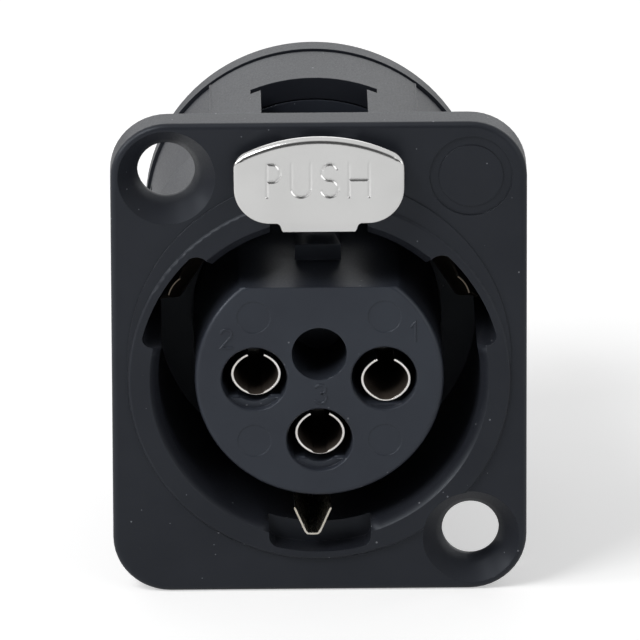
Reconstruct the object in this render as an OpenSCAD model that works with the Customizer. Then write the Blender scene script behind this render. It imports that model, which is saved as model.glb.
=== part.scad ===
/* [Flange] */
// Width of the flange
flange_w = 26; // [25.6:0.1:28]
// Height of the flange
flange_h = 31; // [30.6:0.1:33]
// Thickness of the flange
flange_t = 2.2; // [2:0.1:2.8]
// Radius of the flange's corners
flange_corner_r = 3.6; // [2.5:0.1:4]
// Rounding of the flange's front edge
flange_edge_r = 0.35; // [0.2:0.05:0.5]
// Distance between the two screw holes from side to side
screw_pitch_x = 19; // [18.6:0.1:19.4]
// Distance between the two screw holes from top to bottom
screw_pitch_y = 24; // [23.6:0.1:24.4]
// Radius of the screw holes
screw_r = 1.8; // [1.6:0.05:1.9]
// Radius of the countersinks at the front face
sink_r = 3.05; // [2.6:0.05:3.2]
// Straight length of the screw holes behind the countersinks
screw_land = 0.5; // [0.3:0.1:0.8]
// Radius of the blank round pad in the upper right corner
pad_r = 2.6; // [2:0.1:2.8]
// Width of the groove round the blank pad
pad_groove_w = 0.6; // [0.3:0.1:0.8]
// Depth of the groove round the blank pad
pad_groove_d = 0.12; // [0.05:0.01:0.2]

/* [Socket] */
// Distance of the socket's axis below the flange's centre
socket_drop = 1.36; // [1.2:0.02:1.4]
// Radius of the raised ring round the socket
ring_r = 12; // [11.8:0.05:12.1]
// Height of the raised ring above the flange
ring_rise = 0.25; // [0.15:0.05:0.3]
// Radius of the low step that is centred on the flange
step_r = 12; // [11.8:0.05:12.2]
// Rounding of the raised ring's outer edge
ring_edge = 0.2; // [0.1:0.02:0.24]
// Height of the low step above the flange
step_rise = 0.1; // [0.05:0.01:0.12]
// Radius of the socket's bore
bore_r = 10.1; // [9.9:0.05:10.15]
// Width of the lead-in chamfer at the bore's mouth
lead_w = 0.55; // [0.3:0.05:0.6]
// Depth of the bore's floor behind the panel
floor_d = 10.4; // [9.8:0.1:11]
// Thickness of the bore's floor
floor_t = 1.2; // [1:0.1:1.5]
// Radius of the two side notches
side_notch_r = 11.45; // [11.4:0.01:11.5]
// Lower end of the side notches as an angle above the horizontal
side_notch_low = 12; // [8:1:16]
// Upper end of the side notches as an angle above the horizontal
side_notch_high = 48.5; // [47:0.5:50]
// Width of the bottom notch
key_w = 6.4; // [6:0.1:7]
// Radius of the bottom notch in the flange
key_r = 11.45; // [11.3:0.05:11.6]
// Thickness of the web behind the bottom notch's deep part
key_web = 0.5; // [0.3:0.1:0.8]
// Wall left under the bottom notch in the barrel
key_wall = 0.45; // [0.3:0.05:0.5]

/* [Barrel] */
// Radius of the front part of the barrel, which passes through the panel
barrel_r = 11.75; // [11.7:0.01:11.9]
// Depth behind the panel of the barrel's root on the flange
root_d = 0.8; // [0.5:0.1:1.2]
// Radius of the rear part of the barrel
drum_r = 10.6; // [10.5:0.02:10.62]
// Wall of the rear part of the barrel
drum_wall = 1.3; // [1.1:0.05:1.3]
// Depth of the barrel's rear end behind the panel
drum_d = 26.55; // [25.95:0.1:27.05]
// Height of the raised pads on the rear part
rib_rise = 0.1; // [0.06:0.01:0.14]
// Half angle of the raised pad on top
rib_half = 38; // [34:1:42]
// Width of the window in the top
window_w = 6.8; // [6.4:0.1:7]
// Depth of the window's rear end behind the panel
window_d = 21.2; // [20.2:0.1:21.6]
// Width of the wings at the window's rear end
wing_w = 0.65; // [0.4:0.05:0.8]
// Length of the wings along the barrel
wing_l = 0.8; // [0.4:0.1:1]
// Depth of the cavity under the window below the drum's bore
cavity_drop = 4; // [3:0.5:5]
// Thickness of the wall in front of that cavity
cavity_wall = 0.8; // [0.6:0.1:1]

/* [Insert] */
// Radius of the insert's nose
nose_r = 7.8; // [7.6:0.05:7.9]
// Height of the nose's flat above the socket's axis
nose_flat = 6.07; // [5.8:0.05:6.4]
// Rounding of the nose's front edge
nose_edge = 0.3; // [0.1:0.05:0.4]
// Width of the rib on the flat
nose_rib_w = 2.9; // [2.4:0.1:3.4]
// Height of the rib on the flat
nose_rib_h = 1; // [0.6:0.1:1.2]
// Distance of the rib's front end behind the nose's face
nose_rib_back = 5.3; // [4.5:0.1:6]
// Thickness of the insert's base
base_t = 2.6; // [2.4:0.1:3]
// Radius of the circle on which the contacts lie
contact_pitch_r = 4.07; // [4:0.01:4.15]
// Radius of the contact holes in the nose's face
contact_hole_r = 2.05; // [1.9:0.05:2.15]
// Radius of the blind hole in the middle of the nose
blind_hole_r = 1.73; // [1.5:0.05:1.8]
// Height of the blind hole above the socket's axis
blind_hole_up = 1.65; // [1.5:0.05:1.8]
// Depth of the blind hole
blind_hole_d = 6; // [3:0.5:8]

/* [Contacts] */
// Inner radius of the contacts
contact_bore_r = 1.33; // [1.28:0.01:1.36]
// Wall of the contacts' slotted front
contact_wall = 0.18; // [0.16:0.01:0.24]
// Width of the slot in the contacts
contact_slot_w = 0.95; // [0.6:0.05:1.1]
// Length of the contacts' bores
contact_bore_l = 9.8; // [8.5:0.1:10.5]
// Distance of the contacts' mouths behind the nose's face
contact_back = 0.5; // [0.3:0.05:0.8]
// Radius of the contacts' collars
collar_r = 1.95; // [1.8:0.05:2]
// Thickness of the contacts' collars
collar_t = 0.8; // [0.6:0.05:0.9]
// Length left closed at the inner end of the contacts' slots
slot_root = 0.8; // [0.5:0.1:1.2]
// Inner radius of the solder cups
cup_bore_r = 1.1; // [0.9:0.05:1.2]
// Depth of the solder cups
cup_bore_l = 4; // [3:0.25:4.5]
// Length of the cut-away side of the solder cups
cup_open_l = 2.6; // [1.5:0.1:2.8]
// Height of the cut-away's edge above the contact's axis
cup_open_up = 0.2; // [0:0.05:0.4]
// Depth of the solder cups' ends behind the panel
cup_end_d = 28.75; // [28.25:0.25:29.75]

/* [Rear] */
// Depth of the contact retainer's rear face behind the panel
retainer_d = 23.4; // [23.2:0.1:23.8]
// Radius of the rear cap
cap_r = 10.8; // [10.8:0.02:10.86]
// Thickness of the rear cap's rim
cap_t = 1.75; // [1.55:0.1:2.35]
// Parting gap between the barrel and the rear cap
cap_gap = 0.25; // [0.2:0.05:0.35]
// Radius of the opening in the rear cap
cap_bore_r = 8; // [7.6:0.05:8.2]
// Rounding of the rear cap's rear edge
cap_edge = 0.4; // [0.2:0.05:0.5]
// Width of the snap lugs that hold the rear cap
snap_w = 4; // [3:0.25:5]
// Length of the snap lugs along the barrel
snap_l = 0.9; // [0.7:0.05:1]
// Height of the snap lugs
snap_h = 1; // [0.8:0.05:1.1]

/* [Ground springs] */
// Thickness of the ground contact's strip
ground_t = 0.16; // [0.14:0.01:0.2]
// Width of the ground contact's strip behind the socket
ground_w = 2.6; // [2.2:0.1:2.8]
// Distance of the ground contact from the middle, towards the left
ground_off = 0.45; // [0.3:0.05:0.6]
// Height of the folded finger's sides
finger_h = 1.75; // [1.4:0.05:2]
// Width of the finger's floor
finger_floor_w = 0.88; // [0.7:0.02:1]
// Width across the finger's open side
finger_mouth_w = 2.4; // [2:0.1:2.6]
// Depth of the finger's front end behind the ring's face
finger_back = 0.1; // [0.05:0.05:0.5]
// Distance of the finger's front end below the flange's centre
finger_drop = 11.7; // [11.6:0.01:11.72]
// Gap round the finger in its slot in the barrel's wall
finger_gap = 0.25; // [0.15:0.05:0.4]
// Distance of the strip's outer face below the flange's centre
ground_drop = 11.1; // [11.05:0.01:11.2]
// Width of the rail on each side of the strip
ground_rail = 0.7; // [0.5:0.1:1]
// Depth of the solder tag's end behind the panel
tag_end_d = 30.25; // [29.75:0.25:31]
// Radius of the hole in the solder tag
tag_hole_r = 0.6; // [0.5:0.05:0.8]
// Width of the side springs
leaf_w = 3.4; // [2.8:0.1:3.8]
// Width of the side springs' front lips
leaf_lip_w = 1.3; // [1:0.1:1.6]
// Length of the side springs' front lips
leaf_lip_l = 1; // [0.6:0.1:1.4]
// Distance of the side springs' front ends behind the ring's face
leaf_back = 1.1; // [0.9:0.1:1.4]
// Gap between the side springs and the notches' outer wall
leaf_gap = 0.5; // [0.45:0.01:0.55]
// Thickness of the side springs
leaf_t = 0.14; // [0.12:0.01:0.18]
// Inward bow of the side springs
leaf_bow = 1.6; // [1.2:0.1:1.9]
// Depth behind the panel at which the bow starts
leaf_bow_d = 0.5; // [0.3:0.1:0.8]
// Depth behind the panel of the front end of the bow's flat top
leaf_top_front_d = 3.4; // [3:0.1:3.8]
// Depth behind the panel of the rear end of the bow's flat top
leaf_top_rear_d = 5.4; // [5:0.1:5.8]
// Distance in front of the socket's floor at which the bow ends
leaf_tail_l = 1.6; // [1.2:0.1:2]
// Angle of the side springs above the horizontal
leaf_angle = 33; // [30:1:34]

/* [Latch] */
// Width of the push button
button_w = 10.65; // [10:0.05:11]
// Height of the push button
button_h = 5.62; // [5.56:0.01:5.7]
// Height of the button's top edge above the flange's centre
button_top = 15.1; // [15.06:0.01:15.16]
// Gap between the flange and the back of the button
button_gap = 0.87; // [0.8:0.01:0.9]
// Thickness of the button at its top edge
button_t = 0.78; // [0.76:0.02:0.84]
// Thickness of the button at its lower edge
button_low_t = 0.7; // [0.6:0.05:0.75]
// Rounding of the button's front edge
button_edge = 0.24; // [0.16:0.02:0.28]
// Height of the button's arched top
button_arch = 1.37; // [1.2:0.01:1.5]
// Radius of the button's upper corners
shoulder_r = 1.1; // [0.8:0.1:1.4]
// Radius of the button's lower corners
button_corner_r = 2.3; // [2:0.1:2.6]
// Width of the tongue and the arm
tongue_w = 4.7; // [4.2:0.1:5]
// Distance of the tongue's lower edge above the socket's bore
tongue_clear = 0.2; // [0.1:0.05:0.3]
// Width of the slot round the tongue
latch_slot_w = 6.1; // [6:0.1:6.4]
// Thickness of the arm
arm_t = 1.16; // [1:0.02:1.2]
// Depth of the arm's end behind the panel
arm_d = 7.6; // [7.2:0.1:8]
// Width of the hook
hook_w = 3; // [2.6:0.1:3.4]
// Length of the hook along the arm
hook_l = 1.9; // [1.6:0.1:2.2]
// Distance of the hook's tip from the socket's axis
hook_tip = 8.5; // [8.4:0.05:8.9]
// Length of the hook's front ramp
hook_ramp = 1.6; // [1.2:0.1:2]
// Height of the blunt nose between the hook's ramp and its tip
hook_nose = 0.4; // [0.3:0.05:0.5]
// Height of the latch pin above the flange's centre
pivot_up = 13.5; // [13.4:0.02:13.6]
// Distance of the latch pin in front of the panel
pivot_front = 1.1; // [1:0.02:1.2]
// Radius of the latch pin
pin_r = 0.5; // [0.4:0.01:0.55]
// Length of the latch pin
pin_l = 8.3; // [8:0.1:8.6]
// Radius of the lugs round the pin
lug_r = 0.77; // [0.72:0.01:0.8]
// Gap between the two lugs
lug_gap = 2.2; // [1.8:0.1:2.4]
// Height of the foot behind the button that leans against the flange
button_foot = 0.56; // [0.4:0.02:0.6]
// Distance of that foot below the button's top edge
foot_drop = 0.5; // [0.48:0.01:0.52]
// Room between the latch's lugs and their opening in the flange
lug_room = 0.1; // [0.08:0.01:0.14]
// Height of the latch's neck above its pin
neck_up = 0.3; // [0.2:0.05:0.4]
// Length of the roof over the slot behind the panel
roof_d = 4.2; // [3.5:0.1:4.4]
// Height of the roof's underside above the flange's centre
roof_y = 10.95; // [10.9:0.01:11]
// Thickness of the latch spring
spring_t = 0.22; // [0.15:0.01:0.25]
// Width of the latch spring where it is held
spring_w = 7; // [6.8:0.1:7.2]
// Width of the latch spring's free end
spring_tip_w = 3.6; // [3:0.1:4.2]
// Height of the latch spring's held part above the arm
spring_rise = 0.6; // [0.5:0.05:0.65]
// Depth behind the panel at which the spring's held part starts
spring_hold_d = 8.9; // [8.6:0.1:9.2]
// Length over which the spring's free end lies on the arm
spring_reach = 1.6; // [1.2:0.1:2]
// Height of the upturned lip at the spring's free end
spring_lip = 0.25; // [0.15:0.05:0.3]

/* [Clearances] */
// Gap between parts that slide into each other
slip = 0.1; // [0.06:0.01:0.14]
// Gap between the latch and its pin
run = 0.03; // [0.02:0.01:0.06]
// Gap between the resting latch and what it leans on
rest_gap = 0.05; // [0.03:0.01:0.08]

/* [Hidden] */
$fn = 96;
eps = 0.01;
far = 40;

// Everything is drawn as seen from the front: x to the right, y up, z towards the viewer
socket_y = -socket_drop;
front_z = flange_t;
ring_z = flange_t + ring_rise;
barrel_d = floor_d + floor_t;
drum_bore_r = drum_r - drum_wall;
body_r = drum_bore_r - slip;
base_d = barrel_d + base_t;
cavity_y = drum_bore_r - cavity_drop;
contact_angles = [0, 180, 270];
contact_r = contact_bore_r + contact_wall;
contact_mouth_z = front_z - contact_back;
hole_neck_d = contact_bore_l - contact_mouth_z + slip;
cap_front_d = drum_d + cap_gap;
cap_rear_d = cap_front_d + cap_t;
snap_d = (retainer_d + drum_d) / 2;
pad_front_d = barrel_d + 0.25;
finger_z = ring_z - finger_back;
finger_root_d = floor_d - 1;
finger_tilt = atan((finger_drop - ground_drop) / (finger_z + finger_root_d));
finger_l = (finger_z + finger_root_d) / cos(finger_tilt);
leaf_out_r = side_notch_r - leaf_gap;
leaf_front = ring_z - leaf_back;
tongue_y = socket_y + bore_r + tongue_clear;
arm_top = tongue_y + arm_t;
hook_y = socket_y + hook_tip;
hook_front_d = arm_d - hook_l;
button_back_z = flange_t + button_gap;
foot_back_z = flange_t + rest_gap;
button_front_z = button_back_z + button_t;
button_low = button_top - button_h;
arch_r = (pow(button_w / 2, 2) + pow(button_arch, 2)) / (2 * button_arch);
shoulder_x = button_w / 2 - shoulder_r;
shoulder_y = button_top - arch_r + sqrt(pow(arch_r - shoulder_r, 2) - pow(shoulder_x, 2));
web_back_z = 0.45;
button_neck_z = button_front_z - button_edge - 0.1;
slot_top = pivot_up + lug_r + lug_room;
neck_top = pivot_up + neck_up;
spring_y = arm_top + spring_rise;
spring_tip_d = arm_d - spring_reach;
spring_free_y = arm_top + rest_gap + spring_t;

// Turns the front view into the part's own frame, front towards -Y and up towards +Z
module stand() {
    rotate([90, 0, 0]) children();
}

// A round disc between two heights along z
module disc(r, z0, z1) {
    translate([0, 0, z0]) cylinder(r = r, h = z1 - z0);
}

// A straight bar centred on x, between two heights in y and in z
module bar(w, y0, y1, z0, z1) {
    translate([-w / 2, y0, z0]) cube([w, y1 - y0, z1 - z0]);
}

// A disc with its front rim rounded by e
module soft_disc(r, z0, z1, e) {
    translate([0, 0, z0]) rotate_extrude() {
        square([r - e, z1 - z0]);
        square([r, z1 - z0 - e]);
        translate([r - e, z1 - z0 - e]) intersection() {
            circle(r = e, $fn = 24);
            square(e);
        }
    }
}

// A pie slice of radius r between two angles
module slice(r, a0, a1, z0, z1) {
    translate([0, 0, z0]) rotate([0, 0, a0]) rotate_extrude(angle = a1 - a0) square([r, z1 - z0]);
}

// A side profile of points (depth behind the panel, height), drawn w wide about x = 0
module profile(w, points) {
    rotate([0, 90, 0]) linear_extrude(height = w, center = true) polygon(points);
}

// A thin bent strip: points along one face, and the strip lies on its lower side
module strip(w, t, points) {
    n = len(points);
    profile(w, concat(points, [for (i = [n - 1:-1:0]) [points[i][0], points[i][1] - t]]));
}

module at_socket() {
    translate([0, socket_y, 0]) children();
}

// Places a child on the axis of the contact at angle a
module at_contact(a) {
    at_socket() translate([contact_pitch_r * cos(a), contact_pitch_r * sin(a), 0]) children();
}

// Places a child in the right or left side notch, with y pointing outwards from the spring's outer face
module at_side_spring(side) {
    at_socket() rotate([0, 0, side > 0 ? leaf_angle - 90 : 90 - leaf_angle])
        translate([0, leaf_out_r, 0]) children();
}

module flange_plate() {
    cx = flange_w / 2 - flange_corner_r;
    cy = flange_h / 2 - flange_corner_r;
    hull() for (sx = [-1, 1], sy = [-1, 1])
        translate([sx * cx, sy * cy, 0]) soft_disc(flange_corner_r, 0, flange_t, flange_edge_r, $fn = 48);
}

module screw_hole() {
    disc(screw_r, -1, flange_t + 1);
    translate([0, 0, screw_land]) cylinder(r1 = screw_r, r2 = sink_r, h = flange_t - screw_land);
    disc(sink_r, flange_t - eps, flange_t + 1);
}

module blank_pad() {
    difference() {
        disc(pad_r, flange_t - pad_groove_d, flange_t + 1);
        disc(pad_r - pad_groove_w, flange_t - 1, flange_t - pad_groove_d / 3);
    }
}

module side_notch() {
    difference() {
        slice(side_notch_r, side_notch_low, side_notch_high, -floor_d, ring_z + 1);
        disc(bore_r - 1, -floor_d - 1, ring_z + 2);
    }
}

// The bottom notch is deep in the flange, shallow in the barrel, and slotted under the finger
module key_notch() {
    intersection() {
        bar(key_w, -far, 0, key_web, ring_z + 1);
        at_socket() disc(key_r, key_web - 1, ring_z + 2);
    }
    intersection() {
        bar(key_w, -far, 0, -floor_d, key_web + eps);
        disc(barrel_r - key_wall, -floor_d - 1, key_web + 1);
    }
    translate([-ground_off, 0, 0])
        bar(finger_floor_w + 2 * finger_gap, -finger_drop - finger_gap, 0, -finger_root_d, key_web + eps);
}

// The nose's outline below its flat, grown by g
module nose_body(g, z0, z1) {
    difference() {
        disc(nose_r + g, z0, z1);
        bar(4 * nose_r, nose_flat + g, far, z0 - 1, z1 + 1);
    }
}

module nose_rib(g, z0, z1) {
    bar(nose_rib_w + 2 * g, nose_flat - 1, nose_flat + nose_rib_h + g, z0, z1);
}

// The opening in the top of the barrel's rear part, with small wings at its rear end
module window() {
    bar(window_w, 0, far, -window_d, -barrel_d + eps);
    bar(window_w + 2 * wing_w, 0, far, -window_d, -window_d + wing_l);
}

// The space under the window, in the pieces that fill the barrel, behind a wall that closes its front
module window_cavity() {
    bar(window_w + 2 * wing_w, cavity_y, far, -window_d, -barrel_d - cavity_wall);
}

module drum_pads() {
    intersection() {
        disc(drum_r + rib_rise, -drum_d, -pad_front_d);
        slice(far, 90 - rib_half, 90 + rib_half, -drum_d - 1, -barrel_d);
    }
    translate([-ground_off, 0, 0])
        bar(ground_w + 2 * ground_rail, -ground_drop + ground_t, -drum_bore_r - drum_wall / 2, -drum_d,
            -barrel_d);
}

// Slot for the tongue and arm, roofed close behind the flange, with room for the lugs and the pin
module latch_slot() {
    bar(latch_slot_w, 0, neck_top + lug_room, 0, ring_z + 1);
    bar(latch_slot_w, 0, slot_top, 0, pivot_front + lug_r + lug_room);
    bar(latch_slot_w, 0, roof_y, -roof_d - eps, eps);
    bar(latch_slot_w, 0, far, -barrel_d - 1, -roof_d);
    bar(pin_l + 2 * slip, pivot_up - pin_r - run, pivot_up + pin_r + run, -1, pivot_front);
    translate([0, pivot_up, pivot_front]) rotate([0, 90, 0])
        cylinder(r = pin_r + run, h = pin_l + 2 * slip, center = true);
}

module spring_grooves() {
    bar(spring_w + 2 * slip, spring_y - spring_t - slip / 2, spring_y + slip / 2, -barrel_d - 1,
        -spring_hold_d);
}

module ground_slot() {
    translate([-ground_off, 0, 0])
        bar(ground_w + 2 * slip, -ground_drop - slip, -ground_drop + ground_t + slip, -barrel_d - 1,
            -floor_d + 1);
}

module snap_windows() {
    for (a = [0, 180]) rotate([0, 0, a])
        translate([drum_bore_r - 0.5, -snap_w / 2 - slip, -snap_d - snap_l / 2 - slip])
            cube([3, snap_w + 2 * slip, snap_l + 2 * slip]);
}

// Everything that is hollow in the body
module body_hollows() {
    at_socket() {
        disc(bore_r, -floor_d, ring_z + 1);
        translate([0, 0, ring_z - lead_w])
            cylinder(r1 = bore_r, r2 = bore_r + lead_w + eps, h = lead_w + eps);
        side_notch();
        mirror([1, 0, 0]) side_notch();
        nose_body(slip, -barrel_d - 1, 0);
        nose_rib(slip, -barrel_d - 1, 0);
    }
    disc(drum_bore_r, -drum_d - 1, -barrel_d);
    key_notch();
    latch_slot();
    window();
    spring_grooves();
    ground_slot();
    for (s = [-1, 1]) at_side_spring(s)
        bar(leaf_w + 2 * slip, -leaf_t - slip, slip, -barrel_d - 1, -floor_d + 1);
    snap_windows();
}

module body_colour() {
    color([0.13, 0.135, 0.15]) stand() children();
}

// The body is one moulding in three lengths: the flange with the barrel's root, the barrel and the drum
module flange() body_colour() difference() {
    union() {
        flange_plate();
        disc(step_r, flange_t - 0.5, flange_t + step_rise);
        at_socket() soft_disc(ring_r, flange_t - 0.5, ring_z, ring_edge);
        disc(barrel_r, -root_d, eps);
    }
    for (s = [-1, 1]) translate([s * screw_pitch_x / 2, -s * screw_pitch_y / 2, 0]) screw_hole();
    translate([screw_pitch_x / 2, screw_pitch_y / 2, 0]) blank_pad();
    body_hollows();
}

module barrel() body_colour() difference() {
    disc(barrel_r, -barrel_d, -root_d);
    body_hollows();
}

module drum() body_colour() difference() {
    union() {
        disc(drum_r, -drum_d, -barrel_d);
        drum_pads();
    }
    body_hollows();
}

module contact_hole() {
    disc(contact_hole_r, -hole_neck_d, front_z + 1);
    disc(contact_r + slip / 2, -base_d - 1, 0);
    disc(collar_r + slip, -base_d - 1, -base_d + collar_t + run);
}

// The insert is one moulding too. Its nose stands in the socket, in three sectors with a contact in each,
// and its base fills the drum
module insert_nose(from, to) color([0.15, 0.16, 0.18]) stand() difference() {
    intersection() {
        at_socket() union() {
            difference() {
                soft_disc(nose_r, -barrel_d, front_z, nose_edge);
                bar(4 * nose_r, nose_flat, far, -far, far);
            }
            nose_rib(0, -barrel_d, front_z - nose_rib_back);
        }
        at_socket() linear_extrude(height = 4 * far, center = true)
            polygon(concat([[0, 0]], [for (i = [0:3]) let (a = from + (to - from) * i / 3)
                                          [far * cos(a), far * sin(a)]]));
    }
    for (a = contact_angles) at_contact(a) contact_hole();
    at_socket() translate([0, blind_hole_up, 0]) disc(blind_hole_r, front_z - blind_hole_d, front_z + 1);
}

module insert_right() insert_nose(-45, 90);
module insert_left() insert_nose(90, 225);
module insert_low() insert_nose(225, 315);

module insert_base() color([0.15, 0.16, 0.18]) stand() difference() {
    disc(body_r, -base_d, -barrel_d);
    for (a = contact_angles) at_contact(a) contact_hole();
    window_cavity();
}

// A slotted socket with a collar and an open solder cup, turned from one bar
module contact(a) color([0.83, 0.80, 0.74]) stand() at_contact(a) difference() {
    union() {
        disc(contact_r, -cup_end_d, contact_mouth_z);
        disc(collar_r, -base_d, -base_d + collar_t);
    }
    disc(contact_bore_r, contact_mouth_z - contact_bore_l, contact_mouth_z + 1);
    bar(contact_slot_w, 0, far, contact_mouth_z - contact_bore_l + slot_root, contact_mouth_z + 1);
    disc(cup_bore_r, -cup_end_d - 1, -cup_end_d + cup_bore_l);
    bar(4 * contact_r, cup_open_up, far, -cup_end_d - 1, -cup_end_d + cup_open_l);
}

module contact_1() contact(contact_angles[0]);
module contact_2() contact(contact_angles[1]);
module contact_3() contact(contact_angles[2]);

module contact_retainer() color([0.17, 0.17, 0.18]) stand() difference() {
    disc(body_r, -retainer_d, -base_d);
    for (a = contact_angles) at_contact(a) disc(contact_r + slip / 2, -far, 0);
    window_cavity();
}

module rear_cap() color([0.14, 0.145, 0.16]) stand() difference() {
    union() {
        translate([0, 0, -cap_front_d - cap_rear_d]) mirror([0, 0, 1])
            soft_disc(cap_r, -cap_rear_d, -cap_front_d, cap_edge);
        disc(body_r, -cap_front_d - eps, -retainer_d - rest_gap);
        for (a = [0, 180]) rotate([0, 0, a])
            translate([body_r - 0.4, -snap_w / 2, -snap_d - snap_l / 2])
                cube([snap_h + 0.4, snap_w, snap_l]);
    }
    disc(cap_bore_r, -far, 0);
    translate([0, 0, -cap_rear_d - eps])
        cylinder(r1 = cap_bore_r + cap_edge + eps, r2 = cap_bore_r, h = cap_edge + eps);
}

// Cross-section of the folded finger, open towards the socket's axis
module finger_section() {
    lean = (finger_mouth_w - finger_floor_w) / 2;
    side = ground_t * sqrt(1 + pow(lean / finger_h, 2));
    half = [[finger_floor_w / 2, 0], [finger_mouth_w / 2, finger_h], [finger_mouth_w / 2 - side, finger_h],
            [finger_floor_w / 2 - side + ground_t * lean / finger_h, ground_t]];
    polygon(concat(half, [for (i = [3:-1:0]) [-half[i][0], half[i][1]]]));
}

// Outline of the flat strip and its solder tag, as (x, depth behind the panel)
module tag_outline() difference() {
    union() {
        translate([-ground_w / 2, finger_root_d - 1])
            square([ground_w, tag_end_d - ground_w / 2 - finger_root_d + 1]);
        translate([0, tag_end_d - ground_w / 2]) circle(r = ground_w / 2);
    }
    translate([0, tag_end_d - ground_w / 2]) circle(r = tag_hole_r);
}

// A strip folded into an open channel at its front, flat behind, with a solder tag at its rear
module ground_contact() color([0.80, 0.79, 0.76]) stand() translate([-ground_off, 0, 0]) {
    intersection() {
        translate([0, -finger_drop, finger_z]) rotate([finger_tilt, 0, 0])
            translate([0, 0, -finger_l]) linear_extrude(height = finger_l) finger_section();
        profile(4 * finger_mouth_w, [[-finger_z - 1, -finger_drop - 1], [finger_root_d, -finger_drop - 1],
                                     [finger_root_d, -ground_drop + ground_t],
                                     [-finger_z, -finger_drop + finger_h],
                                     [-finger_z - 1, -finger_drop + finger_h]]);
    }
    translate([0, -ground_drop, 0]) rotate([-90, 0, 0]) linear_extrude(height = ground_t) tag_outline();
}

// A bowed strip with a narrow front lip, its tail seated in the socket's floor
module side_spring(side) color([0.80, 0.79, 0.76]) stand() at_side_spring(side) {
    strip(leaf_w, leaf_t, [[leaf_lip_l - leaf_front, 0], [leaf_bow_d, 0], [leaf_top_front_d, -leaf_bow],
                           [leaf_top_rear_d, -leaf_bow], [floor_d - leaf_tail_l, 0], [barrel_d, 0]]);
    bar(leaf_lip_w, -leaf_t, 0, leaf_front - leaf_lip_l - eps, leaf_front);
}

module side_spring_left() side_spring(-1);
module side_spring_right() side_spring(1);

// Outline of the push button, shrunk by g
module button_outline(g) {
    hull() {
        intersection() {
            translate([0, button_top - arch_r]) circle(r = arch_r - g);
            translate([-shoulder_x, button_top - button_h / 2]) square([2 * shoulder_x, button_h]);
        }
        for (s = [-1, 1]) {
            translate([s * shoulder_x, shoulder_y]) circle(r = shoulder_r - g, $fn = 48);
            translate([s * (button_w / 2 - button_corner_r), button_low + button_corner_r])
                circle(r = button_corner_r - g, $fn = 48);
        }
    }
}

// The button is a plate with rounded edges, thinner towards its lower edge, with a foot behind its top
module button() {
    intersection() {
        hull() {
            translate([0, 0, button_back_z])
                linear_extrude(height = button_t) button_outline(button_edge);
            translate([0, 0, button_back_z + button_edge])
                linear_extrude(height = button_t - 2 * button_edge) button_outline(0);
        }
        profile(far, [[-button_front_z, 0], [-button_front_z, far], [-button_back_z, far],
                      [-button_back_z, pivot_up], [button_low_t - button_front_z, button_low],
                      [button_low_t - button_front_z, 0]]);
    }
    bar(tongue_w, tongue_y, button_low + 1, button_front_z - button_low_t, button_front_z - button_edge);
    bar(tongue_w, button_top - foot_drop - button_foot, button_top - foot_drop, foot_back_z, button_back_z + 0.1);
}

// Lug round the pin, web through the flange, arm along the socket and hook at its end
module latch_arm() {
    profile(tongue_w, [[-button_neck_z, tongue_y], [arm_d, tongue_y], [arm_d, arm_top], [0.3, arm_top],
                       [-web_back_z, arm_top + 0.6], [-web_back_z, pivot_up],
                       [-button_back_z - 0.2, neck_top], [-button_back_z - 0.2, button_low + 0.6],
                       [-button_neck_z, button_low + 0.2]]);
    translate([0, pivot_up, pivot_front]) rotate([0, 90, 0])
        cylinder(r = lug_r, h = tongue_w, center = true);
    profile(hook_w, [[hook_front_d - hook_ramp, tongue_y + 0.3], [hook_front_d, hook_y + hook_nose],
                     [hook_front_d + 0.3, hook_y], [arm_d, hook_y], [arm_d, tongue_y + 0.3]]);
}

module latch() color([0.80, 0.79, 0.77]) stand() difference() {
    union() {
        button();
        latch_arm();
    }
    translate([0, pivot_up, pivot_front]) rotate([0, 90, 0])
        cylinder(r = pin_r + run, h = far, center = true);
    bar(lug_gap, pivot_up - pin_r - 0.7, far, -1, button_back_z);
}

module latch_pin() color([0.70, 0.70, 0.70]) stand() translate([0, pivot_up, pivot_front])
    rotate([0, 90, 0]) cylinder(r = pin_r, h = pin_l, center = true);

// A flat spring slid into the barrel from behind, its free end resting on the latch's arm
module latch_spring() color([0.68, 0.68, 0.70]) stand() {
    bar(spring_w, spring_y - spring_t, spring_y, -barrel_d + slip, -spring_hold_d - slip);
    strip(spring_tip_w, spring_t, [[spring_hold_d + slip + eps, spring_y],
                                   [spring_tip_d + 0.9, spring_free_y], [spring_tip_d + 0.4, spring_free_y],
                                   [spring_tip_d, spring_free_y + spring_lip]]);
}

flange();
barrel();
drum();
insert_right();
insert_left();
insert_low();
insert_base();
contact_1();
contact_2();
contact_3();
contact_retainer();
rear_cap();
ground_contact();
side_spring_left();
side_spring_right();
latch();
latch_pin();
latch_spring();
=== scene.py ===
import math
import bpy
import bmesh
from mathutils import Matrix, Vector


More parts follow.
